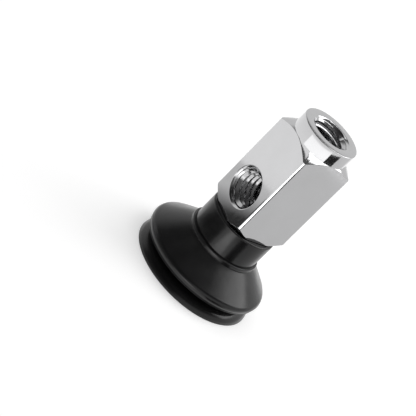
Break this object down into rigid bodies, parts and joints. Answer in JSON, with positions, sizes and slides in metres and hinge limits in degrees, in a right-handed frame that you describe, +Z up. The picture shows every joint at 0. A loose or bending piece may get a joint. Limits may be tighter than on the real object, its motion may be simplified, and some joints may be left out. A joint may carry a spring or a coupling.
{
  "type": "suction cup connector",
  "caption": "Square vacuum connector block with threaded ports on its top and side, a mushroom nipple and a short bellows suction cup.",
  "frame": {"origin": "centre of the sealing lip's contact plane, on the axis of the cup, with the cup relaxed", "axes": "+Z up along the cup's and the block's common axis, out of the top port; the side port opens along -Y"},
  "size_m": [0.0174, 0.0174, 0.026],
  "materials": {
    "plated_metal": "polished, bright plating on brass",
    "cup_rubber": "moulded, satin black"
  },
  "bodies": {
    "holder": {"connector_block": "plated_metal", "cup_nipple": "plated_metal"},
    "neck": {"cup_neck": "cup_rubber"},
    "upper_bellows": {"upper_bellows_wall": "cup_rubber"},
    "fold": {"fold_rim": "cup_rubber"},
    "lip": {"lower_bellows_wall": "cup_rubber", "sealing_lip": "cup_rubber"}
  },
  "joints": [
    {"name": "cup_swivel", "type": "hinge", "parent": "holder", "child": "neck", "pos_m": [0, 0, 0.008], "axis": [0, 0, 1], "continuous": true},
    {"name": "bellows_tilt", "type": "hinge", "parent": "neck", "child": "upper_bellows", "pos_m": [0, 0, 0.005], "axis": [1, 0, 0], "range_deg": [-6, 6], "stiffness_Nm_per_rad": 0.03},
    {"name": "fold_stroke", "type": "slide", "parent": "upper_bellows", "child": "fold", "axis": [0, 0, 1], "range_m": [0, 0.0018], "stiffness_N_per_m": 1000, "deforming": ["upper_bellows_wall"]},
    {"name": "lip_stroke", "type": "slide", "parent": "fold", "child": "lip", "axis": [0, 0, 1], "range_m": [0, 0.00045], "stiffness_N_per_m": 4000, "deforming": ["lower_bellows_wall"]}
  ]
}
